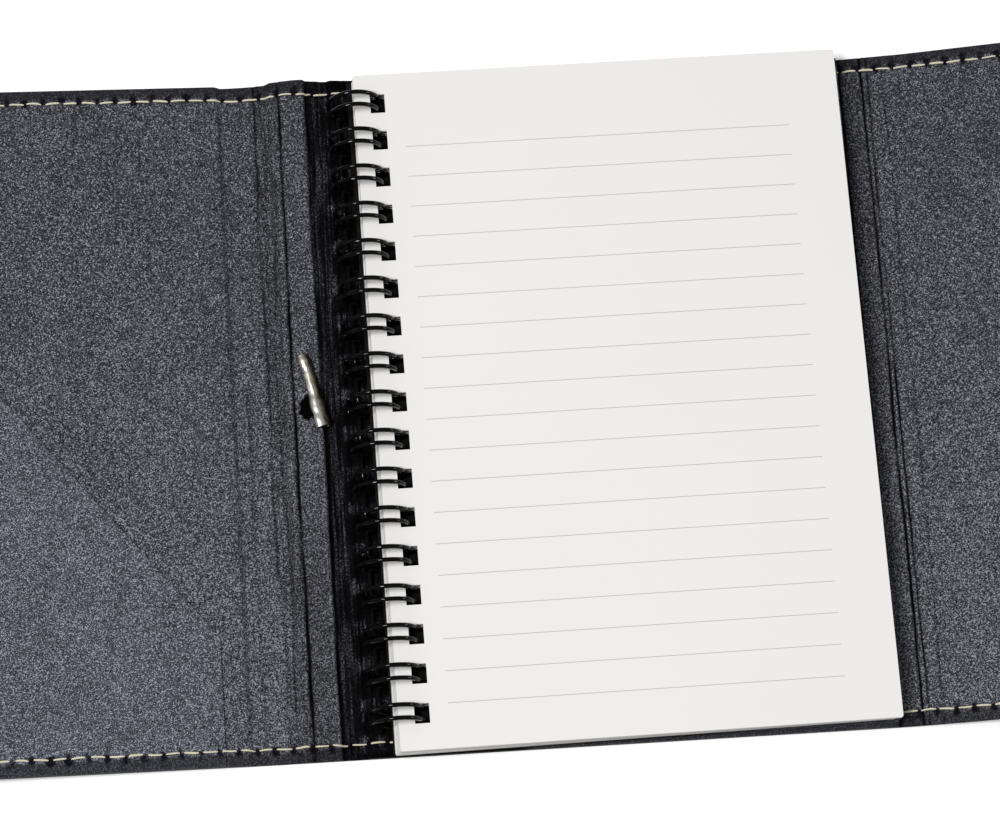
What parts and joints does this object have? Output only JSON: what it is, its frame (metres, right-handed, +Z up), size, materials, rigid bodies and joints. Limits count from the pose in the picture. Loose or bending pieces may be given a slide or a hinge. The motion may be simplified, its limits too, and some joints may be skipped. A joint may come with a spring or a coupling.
{
  "type": "pocket notebook",
  "caption": "Pocket notebook lying open: twin-loop bound ruled pad on the back panel of a soft wrap-around cover with a spine, a front panel with a diagonal pocket and a fore-edge flap.",
  "frame": {"origin": "middle of the back panel's underside, which rests on the table", "axes": "+X from the spine to the fore edge, +Y from the tail to the head of the page, +Z up out of the page"},
  "size_m": [0.3228, 0.1514, 0.015],
  "materials": {
    "cover_leather": "dark charcoal, fine grain",
    "lining_leather": "charcoal with a bluish metallic speckle",
    "pocket_leather": "smoother, slightly bluer charcoal",
    "grey_board": "plain pressed board",
    "black_card": "matt black card",
    "sheets": "smooth white, thin grey rules",
    "seam_thread": "cream twisted thread",
    "coated_wire": "black nylon-coated wire",
    "nickel": "nickel-plated, slightly dented"
  },
  "bodies": {
    "back_cover": {"back_outer": "cover_leather", "back_board": "grey_board", "back_lining": "lining_leather", "head_seam_back": "seam_thread", "tail_seam_back": "seam_thread", "pad_sleeve": "pocket_leather", "pad_board": "black_card", "lower_sheets": "sheets", "middle_sheets": "sheets", "twin_loop_wire": "coated_wire", "fore_edge_fold_skin": "cover_leather", "spine_fold_skin": "cover_leather"},
    "spine": {"spine_outer": "cover_leather", "spine_strip": "grey_board", "spine_lining": "lining_leather", "head_seam_spine_strip": "seam_thread", "tail_seam_spine_strip": "seam_thread", "head_seam_spine_soft": "seam_thread", "tail_seam_spine_soft": "seam_thread", "front_fold_skin": "cover_leather"},
    "front_cover": {"front_outer": "cover_leather", "front_board": "grey_board", "front_lining": "lining_leather", "head_seam_front": "seam_thread", "tail_seam_front": "seam_thread", "document_pocket": "pocket_leather"},
    "gusset": {"gusset_outer": "cover_leather", "gusset_lining": "lining_leather", "head_seam_gusset": "seam_thread", "tail_seam_gusset": "seam_thread", "flap_fold_skin": "cover_leather"},
    "flap": {"flap_outer": "cover_leather", "flap_lining": "lining_leather", "head_seam_flap": "seam_thread", "tail_seam_flap": "seam_thread"},
    "sheet_block": {"upper_sheets": "sheets"},
    "top_leaf": {"top_sheet": "sheets"},
    "toggle": {"closure_toggle": "nickel"}
  },
  "joints": [
    {"name": "spine_fold", "type": "hinge", "parent": "back_cover", "child": "spine", "pos_m": [-0.05958, 0, 0.00045], "axis": [0, 1, 0], "range_deg": [0, 90], "deforming": ["spine_fold_skin"]},
    {"name": "front_fold", "type": "hinge", "parent": "spine", "child": "front_cover", "pos_m": [-0.07785, 0, 0.00045], "axis": [0, 1, 0], "range_deg": [-4, 88.94], "deforming": ["front_fold_skin"]},
    {"name": "fore_edge_fold", "type": "hinge", "parent": "back_cover", "child": "gusset", "pos_m": [0.05958, 0, 0.00045], "axis": [0, -1, 0], "range_deg": [-8, 82], "deforming": ["fore_edge_fold_skin"]},
    {"name": "flap_fold", "type": "hinge", "parent": "gusset", "child": "flap", "pos_m": [0.07352, 0, 0.00241], "axis": [0, -1, 0], "range_deg": [-4, 83.06], "deforming": ["flap_fold_skin"]},
    {"name": "sheet_block_turn", "type": "hinge", "parent": "back_cover", "child": "sheet_block", "pos_m": [-0.04997, -0.00067, 0.009], "axis": [-0.0087, 1, 0], "range_deg": [-45, 0]},
    {"name": "top_leaf_turn", "type": "hinge", "parent": "sheet_block", "child": "top_leaf", "pos_m": [-0.04997, -0.00067, 0.009], "axis": [-0.0087, 1, 0], "range_deg": [-129, 0]},
    {"name": "toggle_swivel", "type": "hinge", "parent": "spine", "child": "toggle", "pos_m": [-0.06268, 0.0048, 0.0029], "axis": [0, 0, -1], "range_deg": [-45, 25]}
  ]
}
